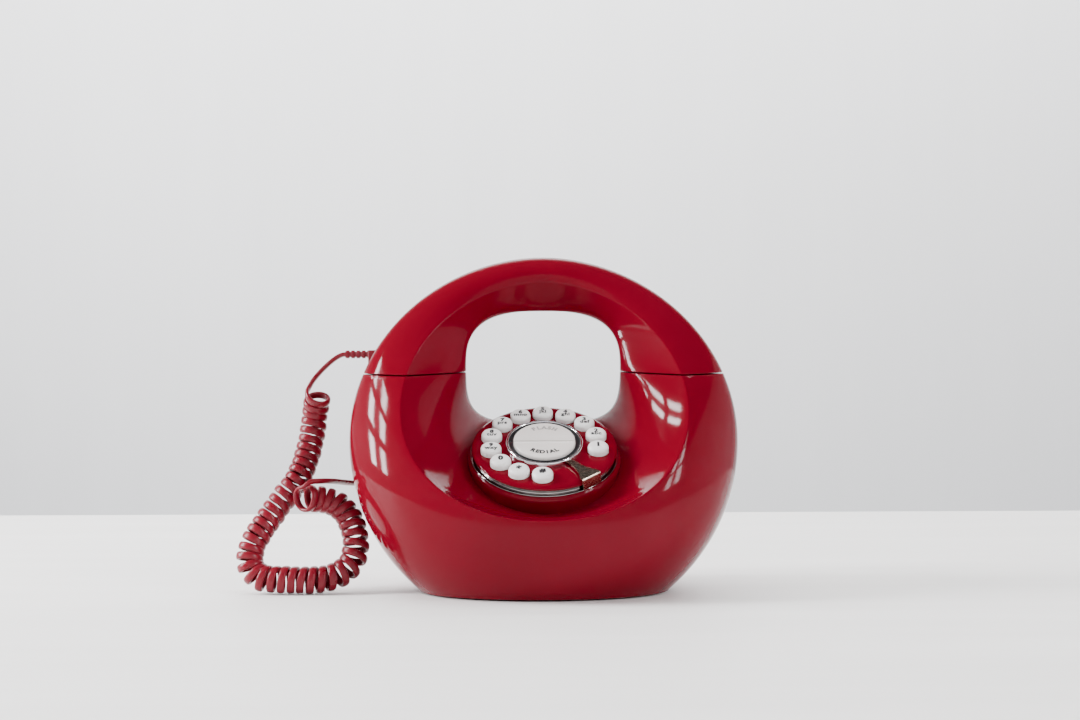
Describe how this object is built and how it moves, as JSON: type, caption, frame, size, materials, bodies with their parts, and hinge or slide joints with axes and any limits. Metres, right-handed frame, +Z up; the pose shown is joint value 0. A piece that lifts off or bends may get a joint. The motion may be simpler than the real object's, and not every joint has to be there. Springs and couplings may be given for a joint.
{
  "type": "corded landline telephone",
  "caption": "Ring-shaped corded desk telephone: an arched handset rests on a sculpted base with a tilted round push-button dial and a curly handset cord.",
  "frame": {"origin": "on the table, under the middle of the phone's width and depth without its cord", "axes": "+Z up, -Y towards the user, +X to the user's right"},
  "size_m": [0.3002, 0.144, 0.204],
  "materials": {
    "red_shell": "high gloss, deep cherry red",
    "white_key": "satin white",
    "black_plastic": "satin black",
    "rubber": "matte",
    "screw_steel": "plain",
    "ballast_steel": "raw plate",
    "chrome": "mirror",
    "finger_stop_metal": "warm nickel, satin",
    "membrane": "matte",
    "circuit_board": "satin",
    "cable": "satin",
    "cord_red": "satin gloss",
    "clear_plug": "clear"
  },
  "bodies": {
    "base": {"base_front_shell": "red_shell", "base_rear_shell": "red_shell", "bottom_plate": "black_plastic", "rubber_feet": "rubber", "bottom_screws": "screw_steel", "rear_screws": "screw_steel", "cradle_pads": "rubber", "dial_housing": "red_shell", "dial_trim": "chrome", "dial_disc": "red_shell", "centre_ring": "chrome", "centre_bezel": "black_plastic", "finger_stop": "finger_stop_metal", "key_membrane": "membrane", "key_board": "circuit_board", "key_board_screws": "screw_steel", "ribbon_cable": "cable", "main_board": "circuit_board", "main_board_screws": "screw_steel", "ringer": "black_plastic", "ballast_plate": "ballast_steel", "switch_cases": "screw_steel", "hook_spring": "screw_steel", "hook_switch": "black_plastic", "handset_jack": "black_plastic", "line_jack": "black_plastic", "cord_upper": "cord_red", "cord_coil": "cord_red", "cord_lower": "cord_red", "cord_plug": "clear_plug"},
    "handset": {"handset_front_shell": "red_shell", "handset_rear_shell": "red_shell", "earpiece_cover": "red_shell", "mouthpiece_cover": "red_shell", "receiver": "black_plastic", "microphone": "black_plastic", "handset_weight": "ballast_steel", "handset_wires": "cable", "handset_screws": "screw_steel", "cord_boot": "cord_red"},
    "key_1": {"key_1": "white_key"},
    "key_2": {"key_2": "white_key"},
    "key_3": {"key_3": "white_key"},
    "key_4": {"key_4": "white_key"},
    "key_5": {"key_5": "white_key"},
    "key_6": {"key_6": "white_key"},
    "key_7": {"key_7": "white_key"},
    "key_8": {"key_8": "white_key"},
    "key_9": {"key_9": "white_key"},
    "key_0": {"key_0": "white_key"},
    "key_star": {"key_star": "white_key"},
    "key_hash": {"key_hash": "white_key"},
    "flash_button": {"flash_button": "white_key"},
    "redial_button": {"redial_button": "white_key"},
    "hook_plunger": {"hook_plunger": "white_key"},
    "ringer_switch": {"ringer_switch": "white_key"},
    "tone_switch": {"tone_switch": "white_key"}
  },
  "joints": [
    {"name": "handset_lift", "type": "slide", "parent": "base", "child": "handset", "axis": [0, -0.0958, 0.9954], "range_m": [0, 0.12]},
    {"name": "key_1_press", "type": "slide", "parent": "base", "child": "key_1", "axis": [0, 0.5417, -0.8406], "range_m": [0, 0.0015], "stiffness_N_per_m": 400, "springref_m": -0.0006},
    {"name": "key_2_press", "type": "slide", "parent": "base", "child": "key_2", "axis": [0, 0.5417, -0.8406], "range_m": [0, 0.0015], "stiffness_N_per_m": 400, "springref_m": -0.0006},
    {"name": "key_3_press", "type": "slide", "parent": "base", "child": "key_3", "axis": [0, 0.5417, -0.8406], "range_m": [0, 0.0015], "stiffness_N_per_m": 400, "springref_m": -0.0006},
    {"name": "key_4_press", "type": "slide", "parent": "base", "child": "key_4", "axis": [0, 0.5417, -0.8406], "range_m": [0, 0.0015], "stiffness_N_per_m": 400, "springref_m": -0.0006},
    {"name": "key_5_press", "type": "slide", "parent": "base", "child": "key_5", "axis": [0, 0.5417, -0.8406], "range_m": [0, 0.0015], "stiffness_N_per_m": 400, "springref_m": -0.0006},
    {"name": "key_6_press", "type": "slide", "parent": "base", "child": "key_6", "axis": [0, 0.5417, -0.8406], "range_m": [0, 0.0015], "stiffness_N_per_m": 400, "springref_m": -0.0006},
    {"name": "key_7_press", "type": "slide", "parent": "base", "child": "key_7", "axis": [0, 0.5417, -0.8406], "range_m": [0, 0.0015], "stiffness_N_per_m": 400, "springref_m": -0.0006},
    {"name": "key_8_press", "type": "slide", "parent": "base", "child": "key_8", "axis": [0, 0.5417, -0.8406], "range_m": [0, 0.0015], "stiffness_N_per_m": 400, "springref_m": -0.0006},
    {"name": "key_9_press", "type": "slide", "parent": "base", "child": "key_9", "axis": [0, 0.5417, -0.8406], "range_m": [0, 0.0015], "stiffness_N_per_m": 400, "springref_m": -0.0006},
    {"name": "key_0_press", "type": "slide", "parent": "base", "child": "key_0", "axis": [0, 0.5417, -0.8406], "range_m": [0, 0.0015], "stiffness_N_per_m": 400, "springref_m": -0.0006},
    {"name": "key_star_press", "type": "slide", "parent": "base", "child": "key_star", "axis": [0, 0.5417, -0.8406], "range_m": [0, 0.0015], "stiffness_N_per_m": 400, "springref_m": -0.0006},
    {"name": "key_hash_press", "type": "slide", "parent": "base", "child": "key_hash", "axis": [0, 0.5417, -0.8406], "range_m": [0, 0.0015], "stiffness_N_per_m": 400, "springref_m": -0.0006},
    {"name": "flash_button_press", "type": "slide", "parent": "base", "child": "flash_button", "axis": [0, 0.5417, -0.8406], "range_m": [0, 0.001], "stiffness_N_per_m": 500, "springref_m": -0.0006},
    {"name": "redial_button_press", "type": "slide", "parent": "base", "child": "redial_button", "axis": [0, 0.5417, -0.8406], "range_m": [0, 0.001], "stiffness_N_per_m": 500, "springref_m": -0.0006},
    {"name": "hook_plunger_rise", "type": "slide", "parent": "base", "child": "hook_plunger", "axis": [0, -0.0958, 0.9954], "range_m": [0, 0.004], "deforming": ["hook_spring"]},
    {"name": "ringer_switch_slide", "type": "slide", "parent": "base", "child": "ringer_switch", "axis": [1, 0, 0], "range_m": [-0.003, 0.003]},
    {"name": "tone_switch_slide", "type": "slide", "parent": "base", "child": "tone_switch", "axis": [1, 0, 0], "range_m": [0, 0.004]}
  ],
  "couplings": [
    {"joint": "hook_plunger_rise", "follows": "handset_lift", "ratio": 0.033333}
  ]
}
